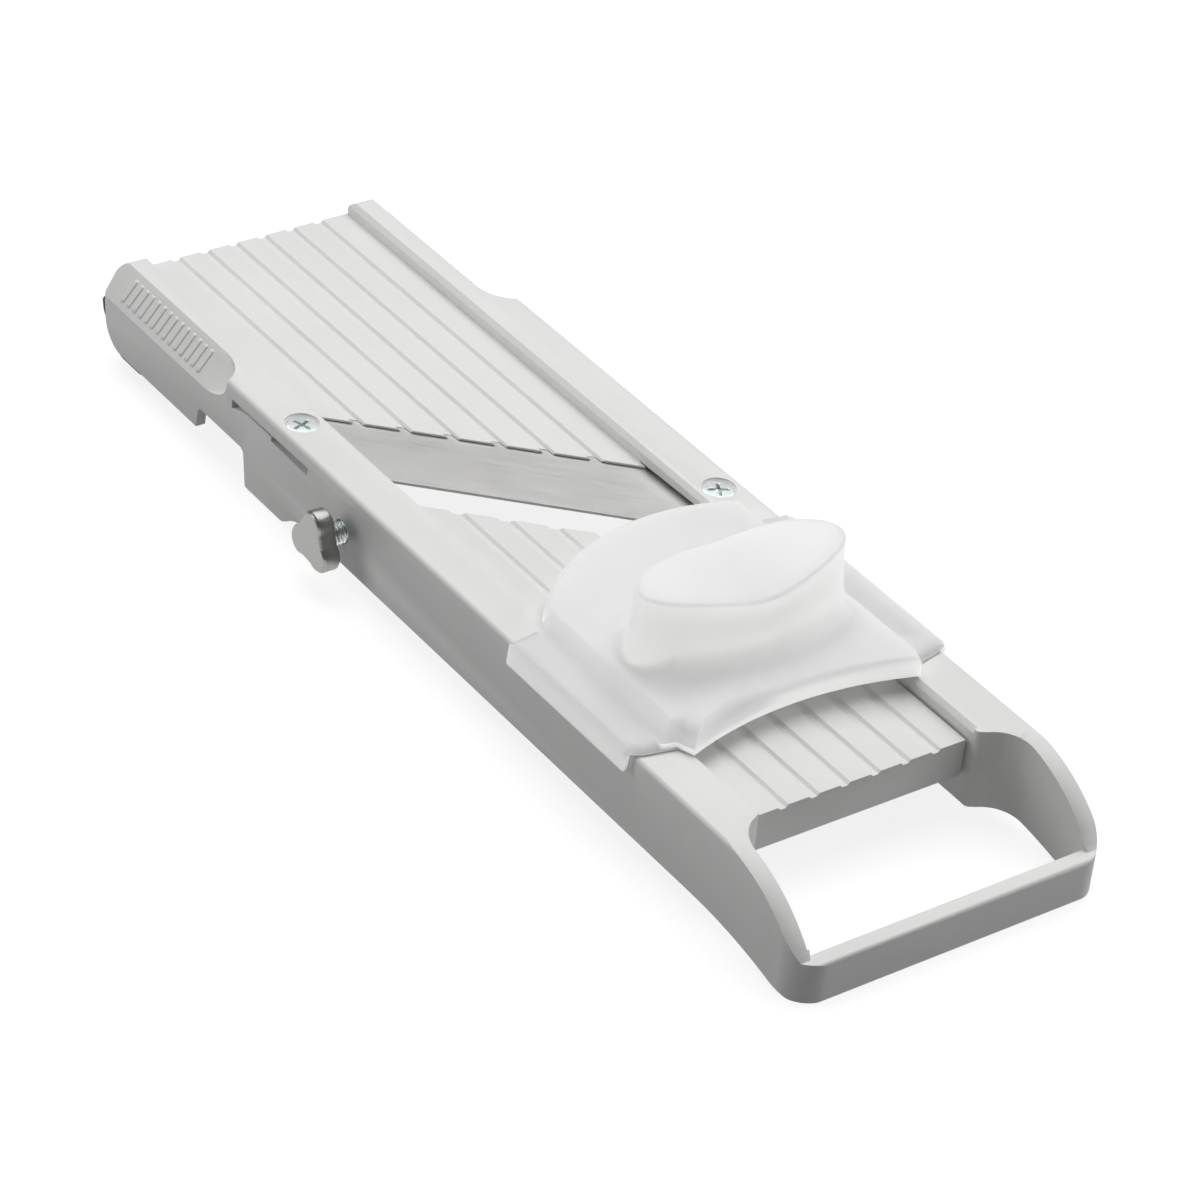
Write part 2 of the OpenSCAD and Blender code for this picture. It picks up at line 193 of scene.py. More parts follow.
class Finish:
    """A material that is built up around one Principled shader."""

    def __init__(self, name, **uniform):
        self.name, self.material = name, bpy.data.materials.new(name)
        self.material.use_nodes = True
        self.tree = self.material.node_tree
        self.shader = self.tree.nodes["Principled BSDF"]
        for key, number in uniform.items():
            self.feed(key.replace("_", " "), number)
        self.place = self.node("ShaderNodeTexCoord", output="Object")

    def node(self, kind, settings=None, inputs=None, output=0):
        """Adds a node, applies its settings, then gives its sockets their values or links."""
        node = self.tree.nodes.new(kind)
        for key, setting in (settings or {}).items():
            setattr(node, key, setting)
        for key, given in (inputs or {}).items():
            self.join(node.inputs[key], given)
        return Value(self, node.outputs[output])

    def join(self, socket, given):
        """Links a Value to a socket, or sets the socket to a plain number or colour."""
        if isinstance(given, Value):
            self.tree.links.new(given.socket, socket)
        else:
            socket.default_value = given

    def feed(self, name, given):
        """Gives one of the Principled shader's own sockets a value or a link."""
        self.join(self.shader.inputs[name], given)

    def parts(self, vector):
        """The three parts of a vector: along X, along Y and along Z."""
        split = self.node("ShaderNodeSeparateXYZ", {}, {"Vector": vector})
        return [Value(self, output) for output in split.socket.node.outputs]

    def noise(self, per_metre, detail=2.0, stretch=None, turn=0.0):
        """Smooth noise from 0 to 1, with that many blobs a metre. A stretch draws it out, along
        axes that are first turned about the vertical."""
        where = self.place
        if stretch:
            where = self.node("ShaderNodeMapping", {"vector_type": "TEXTURE"},
                              {"Vector": where, "Rotation": (0, 0, turn), "Scale": stretch})
        return self.node("ShaderNodeTexNoise", {}, {"Vector": where, "Scale": per_metre,
                                                    "Detail": detail})

    def between(self, amount, low, high):
        """The colour that lies that far from low to high."""
        return self.node("ShaderNodeMix", {"data_type": "RGBA"},
                         {0: amount, 6: (*low, 1), 7: (*high, 1)}, 2)

    def bump(self, height, depth):
        """Feeds Normal from a height whose full range is that deep, in metres."""
        self.feed("Normal", self.node("ShaderNodeBump", {}, {"Height": height, "Distance": depth}))

    def done(self):
        """Prints the size of the sum and hands over the material."""
        print(self.name, "is a sum of", len(self.tree.nodes), "nodes")
        return self.material


print("a finish starts as one Principled shader")

# %% [markdown]
# ## Floor finish
#
# The slicer lies on a seamless white sheet. Strong lamps could bleach a grey floor to white, but
# they would flatten the slicer too. So the floor glows faintly by itself, just enough to look
# white, and its dull base colour still takes the soft shadow below the slicer.

# %% Floor finish


def floor_finish():
    finish = Finish("floor", Roughness=0.7, Emission_Strength=1.0)
    tone = finish.noise(3)
    finish.feed("Base Color", finish.between(tone, (0.28, 0.28, 0.28), (0.30, 0.30, 0.30)))
    finish.feed("Emission Color", finish.between(tone, (0.82, 0.82, 0.82), (0.83, 0.83, 0.83)))
    return finish.done()


ground.data.materials.append(floor_finish())

# %% [markdown]
# ## White moulding
#
# The body and its plate are moulded in a white, slightly glossy plastic. One flat colour and one
# roughness would look like paint. Up close such a face isn't even: the mould's spark-eroded grain
# breaks up the shine, and slow waves of shrinkage bend it. Both are noise, one fine and one broad,
# in the roughness and in a very shallow bump.

# %% White moulding


def white_moulding():
    finish = Finish("white_moulding", IOR=1.52)
    waves = finish.noise(35, 3)
    grain = finish.noise(2400, 2)
    finish.feed("Base Color", finish.between(waves, (0.80, 0.80, 0.79), (0.86, 0.86, 0.85)))
    finish.feed("Roughness", 0.34 + waves * 0.12 + grain * 0.06)
    finish.bump(waves * 0.8 + grain * 0.2, 0.00012)
    return finish.done()


MOULDED = white_moulding()

# %% [markdown]
# ## Guard plastic
#
# The guard is a softer, natural white plastic. Light enters it and comes out a few millimetres
# away, so its shaded sides stay bright. Scattering below the surface does part of that. Light that
# passes right through a thin wall could be traced through it, but that is slow and full of specks,
# so it is added as a faint glow. The glow is strongest on upright faces that look away from the
# overhead light. Flow marks are noise drawn out along the slicer.

# %% Guard plastic
GLOW_LEAN = (0.22, 0.42)
FLAT_GLOW, UPRIGHT_GLOW = (0.06, 0.06, 0.06), (0.44, 0.44, 0.435)


def guard_plastic():
    finish = Finish("guard_plastic", IOR=1.5, Subsurface_Weight=0.85, Subsurface_Scale=0.009,
                    Subsurface_Radius=(1, 1, 1), Emission_Strength=1.0)
    rightward, onward, upward = finish.parts(finish.node("ShaderNodeNewGeometry", output="Normal"))
    upright = 1.0 - abs(upward)
    shaded = 0.5 - (rightward * GLOW_LEAN[0] + onward * GLOW_LEAN[1])
    finish.feed("Emission Color", finish.between(upright * shaded, FLAT_GLOW, UPRIGHT_GLOW))
    flow = finish.noise(60, 3, stretch=(1, 4, 1))
    grain = finish.noise(1800, 2)
    finish.feed("Base Color", finish.between(flow, (0.86, 0.86, 0.855), (0.92, 0.92, 0.915)))
    finish.feed("Roughness", 0.36 + flow * 0.12 + grain * 0.08)
    finish.bump(flow * 0.7 + grain * 0.3, 0.0001)
    return finish.done()


GUARD_PLASTIC = guard_plastic()

# %% [markdown]
# ## Metals
#
# A metal has no colour below its surface, so its look comes from how rough it is and which way the
# roughness runs. All four metals here differ only in numbers, so one function makes them. The
# blade's grinding lines follow its edge, so its noise is drawn out that way. Cast metal is grainy
# in every direction, and plated or turned parts have a fine, even mottle.

# %% Metals
BLADE_SLANT = math.radians(43.2)


def metal(name, dark, light, smoothest, roughest, depth, per_metre, stretch=None, turn=0.0):
    """A bare metal whose colour, roughness and surface height follow one fine noise."""
    finish = Finish(name, Metallic=1.0)
    fine = finish.noise(per_metre, 3, stretch, turn)
    broad = finish.noise(110, 2)
    finish.feed("Base Color", finish.between(fine * 0.7 + broad * 0.3, dark, light))
    finish.feed("Roughness", smoothest + fine * (roughest - smoothest) + broad * 0.06)
    finish.bump(fine, depth)
    return finish.done()


BLADE_STEEL = metal("blade_steel", dark=(0.58, 0.575, 0.56), light=(0.74, 0.735, 0.72),
                    smoothest=0.26, roughest=0.46, depth=0.00002, per_metre=2600,
                    stretch=(40, 1, 1), turn=-BLADE_SLANT)
PLATED_STEEL = metal("plated_steel", dark=(0.66, 0.72, 0.73), light=(0.80, 0.84, 0.83),
                     smoothest=0.22, roughest=0.38, depth=0.00002, per_metre=2200)
CAST_METAL = metal("cast_metal", dark=(0.29, 0.29, 0.275), light=(0.42, 0.42, 0.40),
                   smoothest=0.24, roughest=0.42, depth=0.00008, per_metre=1500)
BRASS = metal("brass", dark=(0.58, 0.39, 0.13), light=(0.72, 0.50, 0.20),
              smoothest=0.24, roughest=0.40, depth=0.00003, per_metre=1800)

# %% [markdown]
# ## Rubber
#
# Soft black rubber is never quite black: dust and bloom lift it to a warm dark grey, in patches.
# A pure black would also hide its rounded ends, so the patches help the shape to be seen.

# %% Rubber


def soft_rubber():
    finish = Finish("rubber", IOR=1.5, Specular_IOR_Level=0.4)
    dust = finish.noise(180, 4)
    grain = finish.noise(3000, 2)
    finish.feed("Base Color", finish.between(dust, (0.052, 0.053, 0.046), (0.085, 0.086, 0.077)))
    finish.feed("Roughness", 0.62 + dust * 0.14 + grain * 0.08)
    finish.bump(grain * 0.6 + dust * 0.4, 0.00008)
    return finish.done()


RUBBER = soft_rubber()

# %% [markdown]
# ## Building shapes from rings
#
# Guard, screws, studs, knobs, pad and ribs are all made in the same way: as a stack of closed rings
# with the same number of points. Joining each ring to the next with four-sided faces gives the
# skin, and a fan closes each end. Spinning or sculpting would do for one or another of them, but
# rings serve them all, and numpy works out the points of all rings at once.

# %% From rings to a piece
SHARP_EDGE = math.radians(40)


def new_piece(name, mesh):
    """Puts a mesh in the scene with its faces outward, smooth except across sharp edges."""
    shape = bmesh.new()
    shape.from_mesh(mesh)
    bmesh.ops.recalc_face_normals(shape, faces=shape.faces)
    shape.to_mesh(mesh)
    shape.free()
    mesh.polygons.foreach_set("use_smooth", np.ones(len(mesh.polygons), bool))
    mesh.set_sharp_from_angle(angle=SHARP_EDGE)
    obj = bpy.data.objects.new(name, mesh)
    bpy.context.scene.collection.objects.link(obj)
    return obj


def skin(name, rings):
    """A closed mesh through rings, an array of (ring, point, xyz) in millimetres. Point k of a ring
    joins point k + 1 of the same ring, counted round, and point k of the next ring."""
    count, points = rings.shape[:2]
    ends = np.stack([rings[0].mean(0), rings[-1].mean(0)])
    places = np.concatenate([rings.reshape(-1, 3), ends]) * MM
    this = np.arange(points)
    following = (this + 1) % points
    start = np.arange(count - 1)[:, None] * points
    quads = np.stack([start + this, start + following, start + points + following,
                      start + points + this], -1).reshape(-1, 4)
    middle, last = count * points, (count - 1) * points
    fans = np.concatenate([np.stack([np.full(points, middle), following, this], -1),
                           np.stack([np.full(points, middle + 1), last + this, last + following],
                                    -1)])
    mesh = bpy.data.meshes.new(name)
    mesh.from_pydata(places.tolist(), [], quads.tolist() + fans.tolist())
    return new_piece(name, mesh)


def settle(obj, body, slot, material, *nodes):
    """Gives a finished piece its finish and its body, and hides the nodes it stands for. The slot
    is not used.
    """
    obj.data.materials.clear()
    obj.data.materials.append(material)
    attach(obj, body)
    if nodes:
        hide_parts(*nodes)
    print(obj.name, len(obj.data.polygons), "faces")


print("edges sharper than", round(math.degrees(SHARP_EDGE)), "degrees stay sharp")

# %% [markdown]
# ## Softened mouldings
#
# The body and the near plate have many flat faces, grooves and pockets, which the frame already
# holds exactly. Making them again from rings would only risk mistakes, so their own triangles are
# merged into whole faces. A Bevel modifier then rounds every edge as a mould would round it. First
# come two helpers that measure all edges of a mesh at once.

# %% Measuring edges


def edge_middles(mesh):
    """The middle of every edge, in millimetres: half the sum of its two ends."""
    ends = np.empty(len(mesh.edges) * 2, np.int32)
    places = np.empty(len(mesh.vertices) * 3, np.float32)
    mesh.edges.foreach_get("vertices", ends)
    mesh.vertices.foreach_get("co", places)
    return places.reshape(-1, 3)[ends.reshape(-1, 2)].mean(1) / MM


def edge_angles(mesh):
    """The angle between the two faces at every edge. The sum s of two unit normals an angle a
    apart has |s|^2 = 2 + 2 cos a."""
    owner = np.repeat(np.arange(len(mesh.polygons)), [p.loop_total for p in mesh.polygons])
    edge_of = np.empty(len(mesh.loops), np.int32)
    mesh.loops.foreach_get("edge_index", edge_of)
    normals = np.empty(len(mesh.polygons) * 3, np.float32)
    mesh.polygons.foreach_get("normal", normals)
    total = np.zeros((len(mesh.edges), 3))
    np.add.at(total, edge_of, normals.reshape(-1, 3)[owner])
    return np.arccos(np.clip(((total ** 2).sum(1) - 2) / 2, -1, 1))


print("the body's frame mesh has", len(edge_middles(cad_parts["body_frame"].data)), "edges")

# %% [markdown]
# The handle's arms are much rounder than the rest. Two bevels, one after the other, would spoil each
# other's corners, so one bevel has the arms' full width and each edge carries its own share of it.
# Edges between faces that nearly line up carry none.

# %% Softened mouldings
SAME_PLACE = 2e-6
SAME_PLANE, ROUNDED_FROM = math.radians(0.3), math.radians(28)
BODY_ROUNDING, PLATE_ROUNDING = 1.4 * MM, 0.3 * MM
ARM_END, ARM_FOOT, ARM_INNER = 31, 11.3, 40
PLAIN_SHARE = 0.34


def softened_copy(node, name, width, share=None):
    """A copy of a frame node with its triangles joined into whole faces and its edges rounded. The
    share is a function from the middles of the edges, in millimetres, to shares of the width."""
    shape = bmesh.new()
    shape.from_mesh(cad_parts[node].data)
    bmesh.ops.remove_doubles(shape, verts=shape.verts, dist=SAME_PLACE)
    bmesh.ops.dissolve_limit(shape, angle_limit=SAME_PLANE, verts=shape.verts, edges=shape.edges)
    mesh = bpy.data.meshes.new(name)
    shape.to_mesh(mesh)
    shape.free()
    obj = bpy.data.objects.new(name, mesh)
    bpy.context.scene.collection.objects.link(obj)
    mesh.polygons.foreach_set("use_smooth", np.ones(len(mesh.polygons), bool))
    bevel = obj.modifiers.new("softened", "BEVEL")
    bevel.width, bevel.segments = width, 3
    bevel.harden_normals = True
    bevel.limit_method, bevel.angle_limit = "ANGLE", ROUNDED_FROM
    if share:
        bevel.limit_method = "WEIGHT"
        weights = share(edge_middles(mesh)) * (edge_angles(mesh) > ROUNDED_FROM)
        layer = mesh.attributes.new("bevel_weight_edge", "FLOAT", "EDGE")
        layer.data.foreach_set("value", weights.astype(np.float32))
    return obj


def arms_share(middle):
    """The whole width on the handle's sloping arms, a third of it elsewhere."""
    x, y, z = middle.T
    arms = (y < ARM_END) & (z > ARM_FOOT) & (abs(x) > ARM_INNER)
    return np.where(arms, 1.0, PLAIN_SHARE)


settle(softened_copy("body_frame", "body", BODY_ROUNDING, arms_share), "body", "white_moulding",
       MOULDED, "body_frame")
settle(softened_copy("adjust_plate", "near_plate", PLATE_ROUNDING), "plate", "white_moulding",
       MOULDED, "adjust_plate")

# %% [markdown]
# ## The hand guard: outlines
#
# The guard is one thin shell, with a grip in the middle of a raised deck and a wing on each rail.
# Boxes with rounded edges could not melt into each other as this moulding does, so it is one stack
# of rings round the middle of the grip. From above, each ring is a closed outline. A ray from the
# middle finds how far away the outline is at each angle, so all rings have matching points. The
# outlines are written as distances from the handle's near face.

# %% Guard outlines
HUB = np.array((0.0, 91.5))
NEAR_ARC, FAR_ARC = (0, -38.8, 104.8), (11, 82.2, 60)
NEAR_HALF, DECK_HALF, WING_HALF = 33.4, 35, 47.8
NEAR_END, RIGHT_END, LEFT_END = 64.4, 129.5, 116
WING_CORNER, END_SLANT = 1.5, 3.5


def arc_run(arc, grow, start, count):
    """Points from one width to its opposite on the far side of a circle, which is grown by an
    amount: y = c + sqrt(r^2 - (x - m)^2)."""
    middle, centre, radius = arc
    x = np.linspace(start, -start, count)
    return np.stack([x, centre + np.sqrt((radius + grow) ** 2 - (x - middle) ** 2)], 1)


def deck_outline(inset):
    """Corners of the raised deck, anticlockwise from its near left, moved in by an inset. The near
    edge is hollow and the far edge is round."""
    near = arc_run(NEAR_ARC, inset, inset - NEAR_HALF, 40)
    far = arc_run(FAR_ARC, -inset, DECK_HALF - inset, 50)
    end = (DECK_HALF - inset, NEAR_END + inset)
    return np.concatenate([near, [end], far, [(-end[0], end[1])]])


def wing_outline(inset):
    """Corners of the wings and of the deck between them, moved in by an inset. The right wing runs
    13.5 mm further than the left one, and each ends in a quarter circle."""
    near = arc_run(NEAR_ARC, inset, inset - NEAR_HALF, 40)
    far = arc_run(FAR_ARC, -inset, DECK_HALF - inset, 50)
    edge = WING_HALF - inset
    shoulder = np.array(((35.3 - inset, NEAR_END + inset), (44 - 0.6 * inset, 66.2 + inset),
                         (edge, 68.5 + 0.7 * inset)))
    turn = np.radians(np.linspace(0, 90, 7))
    right = np.stack([np.cos(turn), np.sin(turn)], 1) * WING_CORNER
    left = np.stack([-np.sin(turn), np.cos(turn)], 1) * WING_CORNER
    return np.concatenate([near, shoulder, right + (edge - WING_CORNER, RIGHT_END - inset),
                           [(DECK_HALF, RIGHT_END + END_SLANT - inset)], far,
                           [(-DECK_HALF, LEFT_END + END_SLANT - inset)],
                           left + (WING_CORNER - edge, LEFT_END - inset), shoulder[::-1] * (-1, 1)])


print("the guard is", 2 * WING_HALF, "mm wide and", round(float(np.ptp(wing_outline(0)[:, 1])), 1),
      "mm deep")

# %% [markdown]
# Evenly spaced rays would miss the sharp corners of the wings and cut them off. So one more ray goes
# through each corner, and an even ray that comes too close to it is left out.

# %% Rays to the outlines
EVEN_RAYS, TOO_CLOSE = 540, 0.002


def spokes():
    """Angles of the rays: evenly spaced, with one through each sharp corner of the wings."""
    corners = wing_outline(0) - HUB
    corners = corners[np.abs(corners[:, 0]) > NEAR_HALF - 0.1]
    through = np.arctan2(corners[:, 1], corners[:, 0])
    even = np.linspace(-np.pi, np.pi, EVEN_RAYS, endpoint=False)
    clear = np.abs(even[:, None] - through).min(1) > TOO_CLOSE
    return np.sort(np.concatenate([even[clear], np.unique(through.round(6))]))


SPOKES = spokes()


def reach(outline):
    """How far each ray runs before it leaves an outline. The ray r u meets the edge p + s e where
    r = cross(p, e) / cross(u, e) and s = cross(p, u) / cross(u, e) lies from 0 to 1."""
    p = outline - HUB
    e = np.roll(p, -1, 0) - p
    ux, uy = np.cos(SPOKES)[:, None], np.sin(SPOKES)[:, None]
    turn = ux * e[:, 1] - uy * e[:, 0]
    turn = np.where(np.abs(turn) < 1e-9, 1e-9, turn)
    r = (p[:, 0] * e[:, 1] - p[:, 1] * e[:, 0]) / turn
    s = (p[:, 0] * uy - p[:, 1] * ux) / turn
    return np.where((s > -1e-6) & (s < 1 + 1e-6) & (r > 0), r, 0).max(1)


DECK_REACH, WING_REACH = reach(deck_outline(0)), reach(wing_outline(0))
print(len(SPOKES), "rays, the longest", round(WING_REACH.max(), 1), "mm")

# %% [markdown]
# ## The hand guard: rings and edge
#
# A ring is a radius and a height for every ray. Heights are measured above the rails. The grip is
# an oval, and its radius has a short formula, so it needs no outline.

# %% Helpers for the guard's rings
GRIP, GRIP_FLARE = np.array((29.5, 12.5)), 1.5
DECK, WING = 5.9, 2.1


def smooth(t):
    """Runs from 0 to 1 with no sharp start or end: 3 t^2 - 2 t^3."""
    t = np.clip(t, 0, 1)
    return t * t * (3 - 2 * t)


def blend(a, b, share):
    """Moves from a to b as the share goes from 0 to 1."""
    return a * (1 - share) + b * share


def grip_radius(offset, scale=1.0):
    """Radius of the grip's oval, grown by an offset: r = 1 / sqrt((cos/a)^2 + (sin/b)^2)."""
    a, b = GRIP + offset
    return scale / np.hypot(np.cos(SPOKES) / a, np.sin(SPOKES) / b)


def ring(radius, height):
    """Points at a radius and a height above the rails along every ray."""
    return np.stack([radius * np.cos(SPOKES), HUB[1] - HANDLE_MID + radius * np.sin(SPOKES),
                     RAIL_TOP + height + 0 * SPOKES], 1)


print("the grip is", 2 * GRIP[0], "by", 2 * GRIP[1], "mm, on a deck", DECK, "mm above the rails")

# %% [markdown]
# The deck's edge changes as it goes round: crisp above the skirt on the right, rolled over slowly at
# the near left, and running down to the wing on the left. Three separate edges would meet in visible
# seams. Instead all three are worked out for every ray, and a share that runs smoothly from 0 to 1
# moves each ray from one to the next.

# %% The deck's edge
CRISP_OUT = np.array((-2.4, -1.5, -0.8, -0.3, -0.05, 0, 0.25, 0.9))[:, None]
CRISP_DOWN = np.array((0, 0.18, 0.55, 1.1, 1.8, 2.6, 3.3, 3.8))[:, None]
ROLL_DOWN, ROLL_WIDTH = 3.9, 8.0
SLOPE_START, SLOPE_LONG = -2.4, 7.4


def deck_edge():
    """Radii and heights of the eight rings round the deck's edge. On the right it is a crisp edge
    above a skirt or a step. Towards the near left it rolls over slowly, as a quarter of an oval,
    and on the left it runs down to the wing as half a wave."""
    x, y = DECK_REACH * np.cos(SPOKES), DECK_REACH * np.sin(SPOKES)
    part = np.linspace(0, 1, 8)[:, None]
    roll = smooth(-x / 26) * (y < 0)
    roll_width = np.minimum(ROLL_WIDTH, 0.5 * (DECK_REACH - grip_radius(GRIP_FLARE)))
    rolled_down = ROLL_DOWN * (1 - np.cos(part * np.pi / 2))
    offset = blend(CRISP_OUT, -roll_width * (1 - part), roll)
    height = DECK - blend(CRISP_DOWN, rolled_down, roll)
    slope = smooth((WING_REACH - DECK_REACH) / 7) * (x < 0)
    wave = WING + (DECK - WING) * (0.5 + 0.5 * np.cos(part * np.pi))
    offset = blend(offset, SLOPE_START + SLOPE_LONG * part, slope)
    return np.minimum(DECK_REACH + offset, WING_REACH), blend(height, wave, slope)


EDGE_RADII, EDGE_HEIGHTS = deck_edge()
print("the deck's edge has", len(EDGE_RADII), "rings and drops to", round(EDGE_HEIGHTS.min(), 2), "mm")

# %% [markdown]
# ## The hand guard: grip
#
# The palm's hollow is a saddle that dips in the middle, leans a little to the left and falls away
# at the near rim, where the thumb rests. A sculpting brush could press it in, but no two strokes
# are the same. A bell-shaped curve gives each dip exactly and fades out with no edge. Below the rim
# the grip leans outward and meets the deck in a fillet.

# %% The grip
GRIP_TOP, GRIP_LEAN, FOOT_FILLET = 25.9, 0.5, 9.0
DIP_DEPTH, DIP_WIDTH = 2.4, 15
SCOOP_DEPTH, SCOOP_WIDTH = 1.1, 13


def palm(radius):
    """Height of the grip's top: level with a slight lean, minus a bell-shaped dip e^-(x/w)^2 across
    the middle and a second one at the near rim."""
    x, y = radius * np.cos(SPOKES), radius * np.sin(SPOKES)
    dip = DIP_DEPTH * np.exp(-(x / DIP_WIDTH) ** 2)
    scoop = SCOOP_DEPTH * np.exp(-(x / SCOOP_WIDTH) ** 2) * np.clip(-y / GRIP[1], 0, 1)
    return GRIP_TOP + GRIP_LEAN * x / GRIP[0] - dip - scoop


def palm_rings():
    """The palm's hollow and the rolled rim: from 3% to 92% of the oval, then over its edge."""
    inside = [ring(grip_radius(0, part), palm(grip_radius(0, part)))
              for part in (0.03, 0.3, 0.5, 0.66, 0.78, 0.86, 0.92)]
    rim = [ring(grip_radius(out), palm(grip_radius(out)) - drop)
           for out, drop in ((-0.75, 0.05), (-0.35, 0.22), (-0.08, 0.55), (0.06, 1.05))]
    return inside + rim


def flare_rings():
    """The grip's side, which leans outward, and the fillet at its foot: a quarter circle whose
    radius is 9 mm or what the deck leaves room for."""
    foot = grip_radius(GRIP_FLARE)
    fillet = np.clip(0.92 * (EDGE_RADII[0] - foot), 0.4, FOOT_FILLET)
    top = palm(grip_radius(0)) - 1.2
    side = [ring(grip_radius(GRIP_FLARE * part ** 1.4), top + (DECK + fillet - top) * part)
            for part in (0.15, 0.4, 0.7)]
    turn = np.radians(np.linspace(0, 90, 9))
    return side + [ring(foot + fillet * (1 - math.cos(a)), DECK + fillet * (1 - math.sin(a)))
                   for a in turn]


grip_stack = palm_rings() + flare_rings()
print("the grip has", len(grip_stack), "rings")

# %% [markdown]
# ## The hand guard: wings and inside
#
# Past the deck's edge come the wing and its lip beside the rail. A Solidify modifier could give the
# shell its wall, but the wall would fold into itself inside the grip and touch the rails. So the
# inside is one more run of rings, which goes back up by given distances.

# %% The wings and the inside
LIP_FROM, LIP_LOW, WING_LOW = 46.9, -4.4, 0.3
WALL, LIP_WALL = 2.2, 1.9
LIP_INNER = WING_HALF - LIP_WALL
WING_ROUNDING = ((3.6, 0, 1.6), (2.2, 0.28, 1.3), (1.2, 0.85, 1.0), (0.5, 1.7, 0.8), (0.1, 2.8, 0.6))
LOWEST = np.where(np.abs(WING_REACH * np.cos(SPOKES)) > LIP_FROM, LIP_LOW, WING_LOW)


def edge_rings():
    """The deck's edge, then the wing's round edge and lip. Each step of the rounding has an inset,
    a drop on a wing and a height where there is no wing and the same rings make up the skirt."""
    winged = smooth((WING_REACH - DECK_REACH) / 3)
    edge = [ring(r, h) for r, h in zip(EDGE_RADII, EDGE_HEIGHTS)]
    rounding = [ring(np.maximum(EDGE_RADII[-1], reach(wing_outline(inset))),
                     skirt + (np.maximum(WING - drop, LOWEST + 0.3) - skirt) * winged)
                for inset, drop, skirt in WING_ROUNDING]
    return edge + rounding + [ring(WING_REACH, LOWEST + 0.25), ring(WING_REACH - 0.3, LOWEST)]


def inside_rings():
    """The way back: up the lip, along the wing's underside, below the deck and into the grip. The
    lip's inner face stays just outside the rail, right to the lip's ends."""
    sideways_share = np.abs(np.cos(SPOKES))
    beside_rail = WING_REACH * sideways_share > LIP_INNER + 0.1
    lip = reach(wing_outline(LIP_WALL))
    lip = np.where(beside_rail, np.maximum(lip, LIP_INNER / sideways_share), lip)
    deck = np.minimum(reach(deck_outline(2.0)), lip - 0.05)
    under = DECK - WALL
    hollow = [ring(grip_radius(-WALL, part), height)
              for part, height in ((1, 19.5), (0.9, 20.6), (0.5, 21), (0.03, 21))]
    return [ring(lip, LOWEST), ring(lip, 0.35), ring(deck, 0.35), ring(deck, under),
            ring(grip_radius(-0.4), under)] + hollow


shell = skin("shell", np.stack(grip_stack + edge_rings() + inside_rings()))
print("the guard's shell has", len(shell.data.polygons), "faces")

# %% [markdown]
# Short prongs below the deck hold the food. They are cones with few faces, because there are many
# and they are hardly seen, and they are joined with the shell into one piece.

# %% Prongs and the finished guard
PRONG_RADII = np.array((0.25, 0.5, 1.3))[:, None]
PRONG_HEIGHTS = np.array((0.6, 0.9, 4.5))[:, None]
PRONG_COLUMNS, PRONG_ROWS = range(-24, 25, 8), (72, 112, 119, 126)


def prong(x, distance):
    """A blunt little cone below the deck that holds the food."""
    turn = np.linspace(0, 2 * np.pi, 16, endpoint=False)
    return skin("prong", np.stack([x + PRONG_RADII * np.cos(turn),
                                   distance - HANDLE_MID + PRONG_RADII * np.sin(turn),
                                   RAIL_TOP + PRONG_HEIGHTS + 0 * turn], -1))


def below_deck(x, distance):
    """Whether a prong stays inside the round far edge: less than 44 mm from the deck's middle."""
    return math.hypot(x - 6, distance - 88) < 44


def joined(name, pieces):
    """One piece made of several, whose own objects are removed."""
    shape = bmesh.new()
    for piece in pieces:
        shape.from_mesh(piece.data)
        bpy.data.objects.remove(piece)
    mesh = bpy.data.meshes.new(name)
    shape.to_mesh(mesh)
    shape.free()
    return new_piece(name, mesh)


prongs = [prong(x, row) for x in PRONG_COLUMNS for row in PRONG_ROWS if below_deck(x, row)]
print(len(prongs), "prongs")
settle(joined("guard", [shell] + prongs), "guard", "guard_plastic", GUARD_PLASTIC, "guard_shell")

# %% [markdown]
# ## Turned and threaded shapes
#
# A screw or a stud is turned about its own axis, so a list of radii and heights gives its profile.
# A thread could be cut with a swept triangle, which leaves thousands of tiny odd faces. Here it is
# part of the profile instead: the radius at a height h and a turn a drops by an amount that depends
# only on h / pitch - a / one turn, and the thread climbs by itself.

# %% Turned shapes
AROUND = np.linspace(0, 2 * np.pi, 96, endpoint=False)
STEPS_PER_PITCH = 10


def all_round(values):
    """A profile's values, each repeated for every point round the axis."""
    return np.asarray(values, float)[:, None] + 0 * AROUND


def turned(radius, height):
    """Rings about the vertical axis. Both are arrays of (ring, point)."""
    return np.stack([radius * np.cos(AROUND), radius * np.sin(AROUND), height], -1)


def helix(height, pitch):
    """How deep the thread is, from 0 at its crest to 1 at its root."""
    return np.abs(2 * ((height / pitch - AROUND / (2 * np.pi)) % 1) - 1)


def threaded(start, end, crest, depth, pitch):
    """Radius and height of a threaded length that runs out smoothly at both ends."""
    steps = round(abs(end - start) / pitch * STEPS_PER_PITCH)
    height = all_round(np.linspace(start, end, steps))
    fade = np.clip(np.minimum(np.abs(height - start), np.abs(height - end)) / (0.6 * pitch), 0, 1)
    return crest - depth * helix(height, pitch) * fade, height


print("a turned ring has", len(AROUND), "points")

# %% [markdown]
# ## Blade screws
#
# Two countersunk steel screws hold the ends of the blade. They stand point down, with their heads
# just below the rail's top. The cross for the screwdriver could be cut out with a boolean, but it
# is small and shallow, so the head's disc is simply pressed in: a drop in height that is full
# inside the cross and nothing outside it.

# %% Blade screws
HEAD_RADIUS, DOME_DROP, RIM_DROP = 4.32, 0.10, 0.25
CROSS_REACH, CROSS_HALF, CROSS_DEEP = 2.75, 0.5, 1.3


